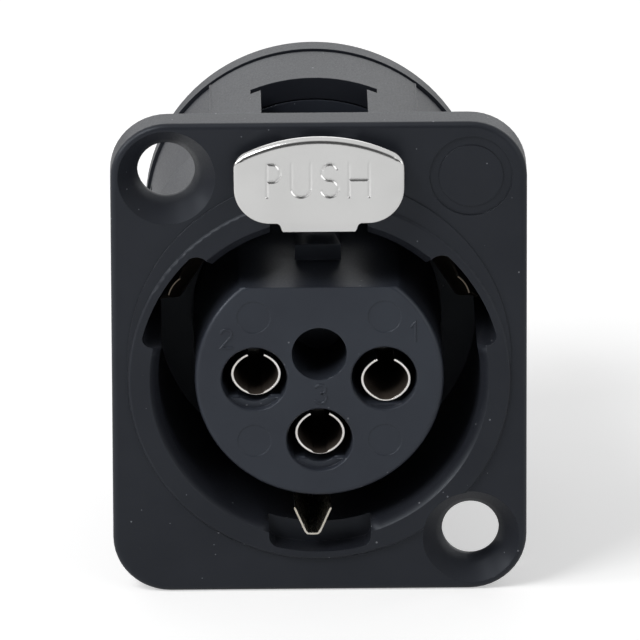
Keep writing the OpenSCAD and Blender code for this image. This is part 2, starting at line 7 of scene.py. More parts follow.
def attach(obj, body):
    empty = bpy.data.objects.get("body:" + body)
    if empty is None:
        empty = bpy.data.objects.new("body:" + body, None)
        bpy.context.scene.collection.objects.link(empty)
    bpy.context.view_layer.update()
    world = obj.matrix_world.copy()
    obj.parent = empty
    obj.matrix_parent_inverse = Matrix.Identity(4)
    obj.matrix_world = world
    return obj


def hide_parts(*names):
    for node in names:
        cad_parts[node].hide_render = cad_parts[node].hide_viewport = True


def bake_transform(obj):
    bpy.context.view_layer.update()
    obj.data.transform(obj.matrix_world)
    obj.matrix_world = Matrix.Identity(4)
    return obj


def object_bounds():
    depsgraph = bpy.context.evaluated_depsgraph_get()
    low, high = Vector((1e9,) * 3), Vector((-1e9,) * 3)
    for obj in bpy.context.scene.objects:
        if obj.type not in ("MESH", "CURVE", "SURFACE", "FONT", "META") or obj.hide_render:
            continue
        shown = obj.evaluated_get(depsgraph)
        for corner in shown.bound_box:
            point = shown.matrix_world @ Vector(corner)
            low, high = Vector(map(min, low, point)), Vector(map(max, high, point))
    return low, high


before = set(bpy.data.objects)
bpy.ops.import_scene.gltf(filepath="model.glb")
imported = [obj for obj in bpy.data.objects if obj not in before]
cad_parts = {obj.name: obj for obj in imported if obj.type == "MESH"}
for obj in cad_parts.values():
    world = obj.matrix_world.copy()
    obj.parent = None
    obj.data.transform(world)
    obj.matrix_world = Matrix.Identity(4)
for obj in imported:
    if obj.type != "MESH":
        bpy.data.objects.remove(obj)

cad_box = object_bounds()

# Pieces are drawn in millimetres as seen from the front: x right, y up, z towards the viewer
MM = 0.001
STAND = Matrix(((MM, 0, 0, 0), (0, 0, -MM, 0), (0, MM, 0, 0), (0, 0, 0, 1)))

# Sizes of the housing, in millimetres: R is a radius, D a depth, T a thickness, W a width
FLANGE_T = 2.2
SOCKET_Y = -1.36
RING_Z = 2.45
FLOOR_D, BARREL_D, BASE_D, DRUM_D = 10.4, 11.6, 14.2, 26.55
PAD_R, PAD_HALF = 10.7, 38.0
SIDE_NOTCH_R, SIDE_NOTCH_LOW, SIDE_NOTCH_HIGH = 11.45, 12.0, 48.5
KEY_W, KEY_R, KEY_WEB = 6.4, 11.45, 0.5
LOW_FILLET, HIGH_FILLET, KEY_FILLET = 0.6, 0.9, 0.75
PARTING_W, PARTING_RISE = 0.18, 0.05

# The insert
INSERT_Z = 2.2
HOLE_R, HOLE_CHAMFER = 2.05, 0.12
SHELF_Z, SHELF_LOW, SHELF_W = 1.72, 2.2, 4.0
MARK_R, MARK_OFF, MARK_D = 1.05, 4.1, 0.04
DIGIT_H = 1.25

# The contacts
CONTACT_PITCH, CONTACT_BORE_R, CONTACT_R, CONTACT_SLOT_W = 4.07, 1.33, 1.51, 0.95
CONTACT_MOUTH, CONTACT_BORE_L, CONTACT_SLOT_L = 1.7, 9.8, 9.0
COLLAR_R, COLLAR_T = 1.95, 0.8
CUP_R, CUP_L, CUP_OPEN_L, CUP_OPEN_UP, CUP_END = 1.1, 4.0, 2.6, 0.2, 28.75

# The springs and the ground contact
GROUND_X, GROUND_Y, GROUND_W, GROUND_T = -0.45, -11.1, 2.6, 0.16
TAG_END, TAG_HOLE_R = 30.25, 0.6
FINGER_FLOOR_W, FINGER_MOUTH_W, FINGER_H, FINGER_T = 0.88, 2.4, 1.75, 0.12
FINGER_FRONT, FINGER_DROP, FINGER_ROOT = 2.35, -11.7, -9.4
LEAF_ANGLE, LEAF_OUT_R, LEAF_FRONT = 33.0, 10.95, 1.35
LEAF_W, LEAF_LIP_W, LEAF_T, LEAF_BOW, LEAF_DISH = 3.4, 1.3, 0.14, 1.6, 0.12
SPRING_Y, SPRING_T, SPRING_W, SPRING_TIP_W, SPRING_TIP = 10.7, 0.22, 7.0, 3.6, 6.0

# The latch
BUTTON_W, BUTTON_TOP, BUTTON_H = 10.65, 15.1, 5.62
BUTTON_LOW = BUTTON_TOP - BUTTON_H
BUTTON_BACK, BUTTON_T, BUTTON_LOW_T = 3.07, 0.78, 0.7
BUTTON_FRONT = BUTTON_BACK + BUTTON_T
BUTTON_ARCH, SHOULDER_R, LOW_CORNER_R = 1.37, 1.1, 2.3
TOP_ROUND, SIDE_ROUND, LOW_ROUND = 0.385, 0.15, 0.08
FOOT_BACK, FOOT_LOW, FOOT_TOP = 2.25, 14.04, 14.6
TONGUE_W, TONGUE_Y, TONGUE_LEAN = 4.7, 8.94, 0.07
ARM_TOP, ARM_D = 10.1, 7.6
PIVOT_Y, PIVOT_Z, PIN_HOLE_R, LUG_R, LUG_GAP = 13.5, 1.1, 0.53, 0.77, 2.2
HOOK_W, HOOK_L, HOOK_Y = 3.0, 1.9, 7.14
LETTER_H, LETTER_Y, LETTER_D = 2.15, 11.27, 0.06

# What one solid reaches into the next before they are joined
BITE = 0.05


# Meshes


def placed(name, data):
    """A new object in the scene."""
    obj = bpy.data.objects.new(name, data)
    bpy.context.scene.collection.objects.link(obj)
    return obj


def face_outwards(mesh):
    bm = bmesh.new()
    bm.from_mesh(mesh)
    bmesh.ops.recalc_face_normals(bm, faces=bm.faces)
    bm.to_mesh(mesh)
    bm.free()


def piece(name, obj, body, material, sharp=32.0):
    """Turns a solid drawn in millimetres into a finished piece of the part."""
    obj.name = name
    obj.data.name = name
    obj.data.transform(STAND)
    face_outwards(obj.data)
    obj.data.shade_smooth()
    obj.data.set_sharp_from_angle(angle=math.radians(sharp))
    # Faces square to the front axis stay flat, so no shading creeps into them from their edges
    for face in obj.data.polygons:
        if abs(face.normal.y) > 0.9999:
            face.use_smooth = False
    even = obj.modifiers.new("even_faces", "WEIGHTED_NORMAL")
    even.weight, even.keep_sharp = 100, True
    obj.data.materials.clear()
    obj.data.materials.append(material)
    if body:
        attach(obj, body)
    return obj


def solid(points, faces):
    mesh = bpy.data.meshes.new("work")
    mesh.from_pydata([Vector(p) for p in points], [], faces)
    face_outwards(mesh)
    return placed("work", mesh)


def loft(rings):
    """A solid whose skin runs over rings of equally many points, closed at both ends."""
    n, count = len(rings[0]), len(rings)
    points = [p for ring in rings for p in ring]
    faces = []
    for i in range(count - 1):
        a, b = i * n, (i + 1) * n
        for j in range(n):
            k = (j + 1) % n
            faces.append((a + j, a + k, b + k, b + j))
    faces.append(tuple(range(n - 1, -1, -1)))
    faces.append(tuple(range((count - 1) * n, count * n)))
    return solid(points, faces)


def combine(target, tool, operation="DIFFERENCE"):
    """Applies one boolean and throws the tool away."""
    mod = target.modifiers.new("combine", "BOOLEAN")
    mod.operation, mod.solver, mod.object = operation, "EXACT", tool
    graph = bpy.context.evaluated_depsgraph_get()
    made = bpy.data.meshes.new_from_object(target.evaluated_get(graph))
    target.modifiers.clear()
    target.data = made
    bpy.data.objects.remove(tool)
    return target


def block(x0, x1, y0, y1, z0, z1):
    return loft([[(x0, y0, z), (x1, y0, z), (x1, y1, z), (x0, y1, z)] for z in (z0, z1)])


def extrude_side(width, outline):
    """A side outline of (z, y) points, width wide about x = 0."""
    return loft([[(x, y, z) for z, y in outline] for x in (-width / 2, width / 2)])


def rod(centre, axis, r, length, steps=64):
    """A round bar along x, y or z about its centre."""
    rings = []
    for end in (-0.5, 0.5):
        ring = []
        for i in range(steps):
            a = 2 * math.pi * i / steps
            u, v, w = r * math.cos(a), r * math.sin(a), end * length
            p = {"x": (w, u, v), "y": (u, w, v), "z": (u, v, w)}[axis]
            ring.append(tuple(c + q for c, q in zip(centre, p)))
        rings.append(ring)
    return loft(rings)


def turned(cx, cy, levels, steps):
    """A round solid along z with a radius at each of several heights."""
    turns = [2 * math.pi * i / steps for i in range(steps)]
    return loft([[(cx + r * math.cos(a), cy + r * math.sin(a), z) for a in turns]
                 for z, r in levels])


def ribbon(points, width, round_steps=6):
    """Outline of an even line with round ends and mitred corners."""
    half = width / 2
    path = [Vector(points[0])]
    for p in points[1:]:
        if (Vector(p) - path[-1]).length > 0.004:
            path.append(Vector(p))
    steps = [(b - a).normalized() for a, b in zip(path, path[1:])]
    left, right = [], []
    for i, p in enumerate(path):
        d0, d1 = steps[max(i - 1, 0)], steps[min(i, len(steps) - 1)]
        d = (d0 + d1).normalized()
        normal = Vector((-d.y, d.x))
        reach = half / max(normal.dot(Vector((-d1.y, d1.x))), 0.5)
        left.append(p + normal * reach)
        right.append(p - normal * reach)

    def cap(p, d):
        a0 = math.atan2(d.y, d.x) + math.pi / 2
        turns = [a0 - math.pi * k / round_steps for k in range(1, round_steps)]
        return [p + half * Vector((math.cos(a), math.sin(a))) for a in turns]

    return left + cap(path[-1], steps[-1]) + right[::-1] + cap(path[0], -steps[0])


def stroke(points, levels):
    """A line of a letter as a solid, with a width at each of several heights."""
    return loft([[(p.x, p.y, z) for p in ribbon(points, width)] for z, width in levels])


def cad_copy(*nodes):
    """The solids of these nodes, welded into new meshes in millimetres and joined face to face."""
    whole = None
    for node in nodes:
        bm = bmesh.new()
        bm.from_mesh(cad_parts[node].data)
        bm.transform(STAND.inverted())
        bmesh.ops.remove_doubles(bm, verts=bm.verts, dist=0.0004)
        mesh = bpy.data.meshes.new("work")
        bm.to_mesh(mesh)
        bm.free()
        obj = placed("work", mesh)
        whole = combine(whole, obj, "UNION") if whole else obj
    return whole


def corner_fill(corner, u, v, r, z0, z1, steps=7, bite=0.06):
    """Rounds an inner corner: fills between walls that leave it along u and v."""
    c, u, v = Vector(corner), Vector(u).normalized(), Vector(v).normalized()
    half = u.angle(v) / 2
    centre = c + (u + v).normalized() * r / math.sin(half)
    ends = [c + u * r / math.tan(half), c + v * r / math.tan(half)]
    a0, a1 = (math.atan2(*(e - centre).yx) for e in ends)
    turn = (a1 - a0 + math.pi) % (2 * math.pi) - math.pi
    curve = [centre + r * Vector((math.cos(a0 + turn * i / steps), math.sin(a0 + turn * i / steps)))
             for i in range(steps + 1)]
    back = (u + v) * bite
    outline = [ends[0] - v * bite] + curve + [ends[1] - u * bite, c - back]
    return loft([[(p.x, p.y, z) for p in outline] for z in (z0, z1)])


def arc(cx, cy, rx, ry, a0, a1, steps):
    turns = [math.radians(a0 + (a1 - a0) * i / steps) for i in range(steps + 1)]
    return [(cx + rx * math.cos(a), cy + ry * math.sin(a)) for a in turns]


# Materials


def colour(code):
    """An sRGB hex colour as linear red, green, blue and alpha."""
    values = [int(code[i:i + 2], 16) / 255 for i in (1, 3, 5)]
    return [v / 12.92 if v <= 0.04045 else ((v + 0.055) / 1.055) ** 2.4 for v in values] + [1.0]


def add(tree, kind, settings=None, inputs=None, links=None):
    """A node with its settings, its fixed inputs and what feeds it."""
    made = tree.nodes.new(kind)
    for key, value in (settings or {}).items():
        setattr(made, key, value)
    for key, value in (inputs or {}).items():
        made.inputs[key].default_value = value
    for key, (source, output) in (links or {}).items():
        tree.links.new(source.outputs[output], made.inputs[key])
    return made


def empty_material(name):
    mat = bpy.data.materials.new(name)
    mat.use_nodes = True
    mat.node_tree.nodes.clear()
    return mat, mat.node_tree


def per_mm(size):
    """Texture scale at which one feature is size millimetres, for coordinates in metres."""
    return 1.0 / (size * MM)


# Specks of dust lie in cells of this width; the largest is this share of a cell in radius
DUST_CELL, DUST_SHARE = 0.9, 0.075


def finish_material(name, base, tint, metallic, roughness, grain_mm, grain_bump,
                    stretch=(1, 1, 1), rough_swing=0.06, patch_mm=5.0, edge_mm=0.05,
                    edge_gloss=0.1, dust=None, sheen=None, ior=1.5):
    """One surface: colour patches, grain in bump and roughness, soft edges, perhaps dust."""
    mat, tree = empty_material(name)
    place = add(tree, "ShaderNodeTexCoord")
    stretched = add(tree, "ShaderNodeMapping", inputs={"Scale": stretch},
                    links={"Vector": (place, "Object")})
    grain = add(tree, "ShaderNodeTexNoise", inputs={"Scale": per_mm(grain_mm), "Detail": 3.0},
                links={"Vector": (stretched, "Vector")})
    patches = add(tree, "ShaderNodeTexNoise", inputs={"Scale": per_mm(patch_mm), "Detail": 4.0},
                  links={"Vector": (place, "Object")})
    blend = add(tree, "ShaderNodeMapRange", inputs={"From Min": 0.35, "From Max": 0.65},
                links={"Value": (patches, "Fac")})
    mix = add(tree, "ShaderNodeMix", {"data_type": "RGBA"}, {6: colour(base), 7: colour(tint)},
              {0: (blend, "Result")})
    if dust:
        cells = add(tree, "ShaderNodeTexVoronoi", inputs={"Scale": per_mm(DUST_CELL)},
                    links={"Vector": (place, "Object")})
        each = add(tree, "ShaderNodeSeparateColor", links={"Color": (cells, "Color")})
        size = add(tree, "ShaderNodeMath", {"operation": "MULTIPLY"}, {1: DUST_SHARE},
                   {0: (each, "Red")})
        speck = add(tree, "ShaderNodeMath", {"operation": "LESS_THAN"},
                    links={0: (cells, "Distance"), 1: (size, "Value")})
        mix = add(tree, "ShaderNodeMix", {"data_type": "RGBA"}, {7: colour(dust)},
                  {0: (speck, "Value"), 6: (mix, "Result")})
    soft = add(tree, "ShaderNodeBevel", {"samples": 6}, {"Radius": edge_mm * MM})
    bump = add(tree, "ShaderNodeBump", inputs={"Strength": 1.0, "Distance": grain_bump * MM},
               links={"Height": (grain, "Fac"), "Normal": (soft, "Normal")})
    true = add(tree, "ShaderNodeNewGeometry")
    across = add(tree, "ShaderNodeVectorMath", {"operation": "DOT_PRODUCT"},
                 links={0: (soft, "Normal"), 1: (true, "Normal")})
    edge = add(tree, "ShaderNodeMapRange",
               inputs={"From Min": 1.0, "From Max": 0.86, "To Min": 0.0, "To Max": -edge_gloss},
               links={"Value": (across, "Value")})
    swing = add(tree, "ShaderNodeMapRange",
                inputs={"From Min": 0.3, "From Max": 0.7, "To Min": roughness - rough_swing,
                        "To Max": roughness + rough_swing},
                links={"Value": (grain, "Fac")})
    rough = add(tree, "ShaderNodeMath", {"operation": "ADD"},
                links={0: (swing, "Result"), 1: (edge, "Result")})
    shader = add(tree, "ShaderNodeBsdfPrincipled", inputs={"Metallic": metallic, "IOR": ior},
                 links={"Base Color": (mix, "Result"), "Roughness": (rough, "Value"),
                        "Normal": (bump, "Normal")})
    if sheen:
        shader.inputs["Specular IOR Level"].default_value = sheen[0]
        shader.inputs["Specular Tint"].default_value = colour(sheen[1])
    add(tree, "ShaderNodeOutputMaterial", links={"Surface": (shader, "BSDF")})
    return mat


DUST, SKY_TINT = "#73757a", "#eef6ff"
# Glass-filled nylon moulded in a spark-eroded tool: dull black with a fine even grain
nylon_body = finish_material("satin_nylon", "#1f2127", "#24262c", 0.0, 0.42, 0.11, 0.004,
                             dust=DUST, sheen=(0.31, SKY_TINT))
# The insert's nylon comes from a smoother tool: its faces are a little lighter and more even
nylon_insert = finish_material("smooth_nylon", "#2d3038", "#32363e", 0.0, 0.36, 0.09, 0.002,
                               edge_mm=0.09, edge_gloss=0.2, dust=DUST, sheen=(0.36, SKY_TINT))
# Nickel-plated zinc casting, buffed: a bright mirror with faint buffing lines
nickel = finish_material("buffed_nickel", "#d9d9d8", "#dededd", 1.0, 0.16, 0.05, 0.0006,
                         (1, 14, 14), 0.03, 3.0, 0.05, 0.0)
# Silver-plated copper alloy, turned and barrel-plated: warm white with a soft sheen
silver = finish_material("silver_plate", "#f3f2ef", "#e8e5df", 1.0, 0.22, 0.04, 0.0008,
                         (1, 1, 1), 0.05, 1.5, 0.04, 0.0)
# Inside the contacts' bores: a dark brown grey that is not metallic, painted shade where the
# silver-plated bore lies in shade
painted_shade_bore = finish_material("bore_painted_shade", "#4c443d", "#3a342f", 0.0, 0.5, 0.05, 0.001,
                            (1, 0.1, 1), 0.06, 1.2, 0.02, 0.0)
# Bronze spring strip with thin plating: warm grey, faint rolling lines along the strip
bronze = finish_material("plated_bronze", "#dcd8cf", "#cfc8b8", 1.0, 0.26, 0.05, 0.0008,
                         (1, 0.08, 1), 0.06, 1.2, 0.03, 0.0)
# The side springs are the same bronze strip in a darker, duller copy, painted shade for the shaded
# side notches, so only their edges catch the light
painted_shade_bronze = finish_material("bronze_painted_shade", "#6f675b", "#5d564c", 1.0, 0.4, 0.05, 0.0008,
                              (1, 0.08, 1), 0.06, 1.2, 0.03, 0.1)
# Hardened spring steel, drawn and tempered
steel = finish_material("spring_steel", "#a9a9aa", "#b6b6b7", 1.0, 0.28, 0.04, 0.0006,
                        (1, 0.1, 1), 0.05, 1.5, 0.03, 0.0)

LOOKS = (
    (nylon_body, ("flange", "barrel", "drum", "rear_cap")),
    (nylon_insert, ("insert_right", "insert_left", "insert_low", "insert_base",
                    "contact_retainer")),
    (silver, ("contact_1", "contact_2", "contact_3")),
    (bronze, ("ground_contact", "side_spring_left", "side_spring_right")),
    (steel, ("latch_pin", "latch_spring")),
    (nickel, ("latch",)),
)
for look, nodes in LOOKS:
    for node in nodes:
        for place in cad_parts[node].material_slots:
            place.material = look


# The body: flange, ring, barrel and drum as the one moulding that they are


def direction(degrees):
    """Unit vector at this angle, and the one square to it."""
    a = math.radians(degrees)
    return Vector((math.cos(a), math.sin(a))), Vector((-math.sin(a), math.cos(a)))


def make_body():
    body = cad_copy("flange", "barrel", "drum")
    front = RING_Z - 0.001
    for side in (-1, 1):
        for angle, turn, fillet in ((SIDE_NOTCH_LOW, 1, LOW_FILLET),
                                    (SIDE_NOTCH_HIGH, -1, HIGH_FILLET)):
            out, along = direction(angle)
            corner = out * SIDE_NOTCH_R + Vector((0, SOCKET_Y))
            along = along * turn
            combine(body, corner_fill((side * corner.x, corner.y), (-side * out.x, -out.y),
                                      (side * along.x, along.y), fillet, -FLOOR_D - BITE, front),
                    "UNION")
        y = SOCKET_Y - math.sqrt(KEY_R ** 2 - (KEY_W / 2) ** 2)
        wall = Vector((-side * (SOCKET_Y - y), -KEY_W / 2)).normalized()
        combine(body, corner_fill((side * KEY_W / 2, y), (0, 1), (wall.x, wall.y), KEY_FILLET,
                                  KEY_WEB - BITE, front), "UNION")
    # The mould's parting lines run along the rear part, at both ends of the pad on top
    for side in (-1, 1):
        out, along = direction(90 + side * PAD_HALF)
        line = [along * u * PARTING_W / 2 + out * (PAD_R + v)
                for u, v in ((-1, -0.1), (-0.6, PARTING_RISE), (0.6, PARTING_RISE), (1, -0.1))]
        combine(body, loft([[(p.x, p.y, z) for p in line]
                            for z in (0.02 - DRUM_D, -BARREL_D - 0.3)]), "UNION")
    return body


body = piece("body_moulding", make_body(), "receptacle", nylon_body)
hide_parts("flange", "barrel", "drum")


# The insert: a nose with a stepped rim, marks of the ejector pins and raised pin numbers

DIGITS = {
    "1": [[(0.12, 0.76), (0.34, 1.0), (0.34, 0.0)]],
    "2": [arc(0.3, 0.72, 0.27, 0.27, 165, -38, 12) + [(0.04, 0.02), (0.6, 0.02)]],
    "3": [arc(0.28, 0.75, 0.25, 0.24, 150, -80, 10), arc(0.28, 0.27, 0.29, 0.27, 80, -150, 12)],
}


def contact_centre(angle):
    a = math.radians(angle)
    return CONTACT_PITCH * math.cos(a), SOCKET_Y + CONTACT_PITCH * math.sin(a)


def make_insert():
    insert = cad_copy("insert_right", "insert_left", "insert_low")
    front = INSERT_Z
    # Each contact's hole has a low shelf inside, with a seat for the contact
    for angle, drop in ((0, 1.72), (180, 1.24), (270, 1.27)):
        cx, cy = contact_centre(angle)
        side = ((-5, SHELF_LOW), (SHELF_Z, SHELF_LOW), (SHELF_Z, drop + 0.16),
                (SHELF_Z - HOLE_CHAMFER, drop), (-5, drop))
        shelf = loft([[(x, cy - y, z) for z, y in side]
                      for x in (cx - SHELF_W / 2, cx + SHELF_W / 2)])
        combine(shelf, rod((cx, cy, 0), "z", CONTACT_R + 0.1, 14))
        combine(shelf, rod((cx, cy, -1.6), "z", HOLE_R + 0.1, 20), "INTERSECT")
        combine(insert, shelf, "UNION")
        combine(insert, turned(cx, cy, ((front - HOLE_CHAMFER, HOLE_R - 0.03),
                                        (front + 0.03, HOLE_R + HOLE_CHAMFER)), 72))
    for x, y in ((-1, 1), (1, 1), (-1, -1), (1, -1)):
        combine(insert, turned(x * MARK_OFF, SOCKET_Y + y * MARK_OFF,
                               ((front - MARK_D, MARK_R - 0.03), (front + 0.04, MARK_R + 0.05)),
                               48))
    for digit, x, y in (("2", -6.2, 0.72), ("1", 5.6, 1.1), ("3", -0.28, -3.0)):
        for line in DIGITS[digit]:
            points = [(x + px * DIGIT_H, y + py * DIGIT_H) for px, py in line]
            combine(insert, stroke(points, ((front - BITE, 0.17), (front + 0.03, 0.15),
                                            (front + 0.05, 0.09))), "UNION")
    return insert


insert = piece("insert_nose", make_insert(), "receptacle", nylon_insert)
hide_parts("insert_right", "insert_left", "insert_low")


# The contacts: slotted sockets whose two leaves close in at the mouth, with solder cups behind


def leaf_section(close, wall, thin, gap, squeeze, steps=40):
    """Outer and inner line of the split tube: flattened by close, thinned below by thin."""
    outer, inner = [], []
    gap = CONTACT_SLOT_W + (gap - CONTACT_SLOT_W) * close
    spread = math.degrees(math.asin(gap / 2 / CONTACT_R))
    for i in range(steps + 1):
        a = math.radians(90 + spread + (360 - 2 * spread) * i / steps)
        x, y = math.cos(a), math.sin(a)
        low = max(0.0, min(1.0, (0.4 - abs(x)) / 0.07)) if y < 0 else 0.0
        t = wall * (1.0 - thin * low)
        angular = 1.0 - 0.12 * close * (x * y) ** 2
        rx = (1.0 + 0.025 * close) * angular
        ry = (1.0 - (1.0 - squeeze) * close) * angular
        outer.append((CONTACT_R * x * rx, CONTACT_R * y * ry))
        inner.append(((CONTACT_R - t) * x * rx, (CONTACT_R - t) * y * ry))
    return outer + inner[::-1]


def make_contact(cx, cy, thin, gap, squeeze, shift):
    """The mouth's leaves are closed in and lean a little to one side, as far as shift says."""
    root, end = CONTACT_MOUTH - CONTACT_SLOT_L, -CUP_END
    rings = []
    for z, close, wall in ((root - 0.2, 0, 0.18), (root + 2, 0, 0.18), (root + 4.5, 0.25, 0.18),
                           (CONTACT_MOUTH - 1.0, 0.8, 0.17), (CONTACT_MOUTH - 0.25, 1.0, 0.15),
                           (CONTACT_MOUTH - 0.04, 1.0, 0.16), (CONTACT_MOUTH, 1.0, 0.13)):
        rings.append([(cx + x + shift[0] * close, cy + y + shift[1] * close, z)
                      for x, y in leaf_section(close, wall, thin, gap, squeeze)])
    contact = loft(rings)
    tail = rod((cx, cy, (root + end) / 2), "z", CONTACT_R, root - end, 72)
    combine(tail, rod((cx, cy, -BASE_D + COLLAR_T / 2), "z", COLLAR_R, COLLAR_T, 72), "UNION")
    combine(tail, rod((cx, cy, CONTACT_MOUTH - CONTACT_BORE_L + 5), "z", CONTACT_BORE_R, 10, 72))
    combine(tail, rod((cx, cy, end + CUP_L - 5), "z", CUP_R, 10, 72))
    combine(tail, block(cx - 3, cx + 3, cy + CUP_OPEN_UP, cy + 3, end - 1, end + CUP_OPEN_L))
    return combine(contact, tail, "UNION")


def faces_in_bore(mesh, cx, cy):
    """Faces that look at the contact's axis, and the bore's floor."""
    floor_z = CONTACT_MOUTH - CONTACT_BORE_L
    inside = []
    for face in mesh.polygons:
        c, n = face.center, face.normal
        towards = (c.x - cx) * n.x + (c.y - cy) * n.y
        if c.z > floor_z - 0.1 and (towards < -0.3 or c.z < floor_z + 0.1):
            inside.append(face.index)
    return inside


# Number, place, thinning, slot at the mouth, flattening, and the mouth's lean across and up
CONTACTS = (
    (1, 0, 0.3, 1.1, 0.965, (0.1, -0.22)),
    (2, 180, 0.72, 1.06, 0.93, (0.1, 0.2)),
    (3, 270, 0.72, 1.22, 0.95, (0.03, 0.33)),
)
for number, angle, thin, gap, squeeze, shift in CONTACTS:
    cx, cy = contact_centre(angle)
    made = make_contact(cx, cy, thin, gap, squeeze, shift)
    inside = faces_in_bore(made.data, cx, cy)
    contact = piece("contact_%d_split_socket" % number, made, "receptacle", silver)
    # The faces inside the bore take the dark brown grey: painted shade
    contact.data.materials.append(painted_shade_bore)
    for index in inside:
        contact.data.polygons[index].material_index = 1
    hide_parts("contact_%d" % number)


# The ground contact: a strip folded into an open finger, with its flat solder tag behind


def make_ground(steps=8):
    top = (FINGER_MOUTH_W - GROUND_T) / 2
    low = (FINGER_FLOOR_W - 0.1) / 2
    line = [(-top, FINGER_H), (-low - 0.14, 0.38), (-low - 0.06, 0.2), (-low + 0.07, 0.08),
            (-low + 0.22, 0.06)]
    line += [(-x, y) for x, y in reversed(line)]
    rings = []
    for k in range(steps + 1):
        z = FINGER_FRONT + (FINGER_ROOT - FINGER_FRONT) * k / steps
        drop = FINGER_DROP + (GROUND_Y - FINGER_DROP) * k / steps
        rings.append([(GROUND_X + p.x, drop + p.y, z) for p in ribbon(line, FINGER_T, 4)])
    finger = loft(rings)
    end = -TAG_END + GROUND_W / 2
    side = GROUND_W / 2
    outline = [(side, FINGER_ROOT + 1.2), (-side, FINGER_ROOT + 1.2)]
    outline += [(-x, z) for x, z in arc(0, end, side, side, 0, -180, 24)]
    strip = loft([[(GROUND_X + x, y, z) for x, z in outline]
                  for y in (GROUND_Y, GROUND_Y + GROUND_T)])
    combine(strip, rod((GROUND_X, GROUND_Y, end), "y", TAG_HOLE_R, 2, 32))
    return combine(finger, strip, "UNION")


ground = piece("ground_finger", make_ground(), "receptacle", bronze)
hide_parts("ground_contact")


# The side springs: bowed leaves that press on the plug's shell, narrow and dished at the front


def make_side_spring(side):
    out, along = direction(90 - side * (90 - LEAF_ANGLE))
    along = -along
    # Height, how far the leaf bows inwards, and its width there
    stations = [(-0.5, 0.02), (-1.0, 0.25), (-2.9, 1.38), (-3.5, LEAF_BOW), (-5.3, LEAF_BOW),
                (-5.9, 1.38), (-8.3, 0.2), (-8.8, 0), (-BARREL_D, 0)]
    stations = [(LEAF_FRONT, 0, LEAF_LIP_W, 0.08), (LEAF_FRONT - 0.3, 0, LEAF_LIP_W, LEAF_T),
                (LEAF_FRONT - 0.9, 0, 1.7, LEAF_T)] + [(*s, LEAF_W, LEAF_T) for s in stations]
    rings = []
    for z, bow, width, thick in stations:
        dish = LEAF_DISH if z > -1 else 0.0
        outer, inner = [], []
        for i in range(9):
            u = i / 4 - 1
            r = LEAF_OUT_R - bow - dish * u * u
            p = along * u * width / 2 + Vector((0, SOCKET_Y))
            outer.append((*(p + out * r), z))
            inner.append((*(p + out * (r - thick)), z))
        rings.append(outer + inner[::-1])
    return loft(rings)


# The leaves take the darker bronze copy: painted shade
for side, name in ((-1, "left"), (1, "right")):
    leaf = piece("side_spring_%s_leaf" % name, make_side_spring(side), "receptacle",
                 painted_shade_bronze, 50)
    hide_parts("side_spring_%s" % name)


# The latch's leaf spring: held in the barrel, its free end rides on the latch's arm


def make_leaf():
    free = ARM_TOP + 0.05 + SPRING_T
    # Height along the spring, its top there and its width
    stations = (
        (-11.5, SPRING_Y, SPRING_W), (-9.2, SPRING_Y, SPRING_W), (-9.02, SPRING_Y, SPRING_W - 0.4),
        (-8.9, SPRING_Y, SPRING_TIP_W + 0.3), (-8.6, SPRING_Y - 0.03, SPRING_TIP_W),
        (-8.1, SPRING_Y - 0.1, SPRING_TIP_W), (-7.6, SPRING_Y - 0.2, SPRING_TIP_W),
        (-7.1, free + 0.03, SPRING_TIP_W), (-6.8, free, SPRING_TIP_W - 0.05),
        (-6.5, free + 0.02, SPRING_TIP_W - 0.15), (-6.2, free + 0.12, SPRING_TIP_W - 0.4),
        (-SPRING_TIP, free + 0.25, SPRING_TIP_W - 0.8))
    rings = []
    for z, top, width in stations:
        h = width / 2
        rings.append([(-h, top - SPRING_T, z), (h, top - SPRING_T, z), (h, top, z), (-h, top, z)])
    return loft(rings)


leaf = piece("leaf_spring", make_leaf(), None, steel, 40)
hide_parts("latch_spring")
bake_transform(leaf)


# The latch: one casting of button, tongue, arm, lugs and hook


def button_outline(corner_steps=14, arch_steps=40):
    """The push button's and tongue's outline, anticlockwise from below."""
    arch_r = ((BUTTON_W / 2) ** 2 + BUTTON_ARCH ** 2) / (2 * BUTTON_ARCH)
    arch_y = BUTTON_TOP - arch_r
    sx = BUTTON_W / 2 - SHOULDER_R
    sy = arch_y + math.sqrt((arch_r - SHOULDER_R) ** 2 - sx ** 2)
    lx, ly = BUTTON_W / 2 - LOW_CORNER_R, BUTTON_LOW + LOW_CORNER_R
    turn = math.degrees(math.atan2(sy - arch_y, sx))
    foot = TONGUE_W / 2
    right = [(0.0, TONGUE_Y), (foot - 0.1, TONGUE_Y), (foot, TONGUE_Y + 0.14)]
    right += arc(foot + 0.34, BUTTON_LOW - 0.26, 0.26, 0.26, 160, 92, 6)
    right += arc(lx, ly, LOW_CORNER_R, LOW_CORNER_R, -90, 0, corner_steps)
    right += arc(sx, sy, SHOULDER_R, SHOULDER_R, 0, turn, corner_steps)
    top = arc(0, arch_y, arch_r, arch_r, turn, 180 - turn, arch_steps)[1:-1]
    return right + top + [(-x, y) for x, y in reversed(right[1:])]


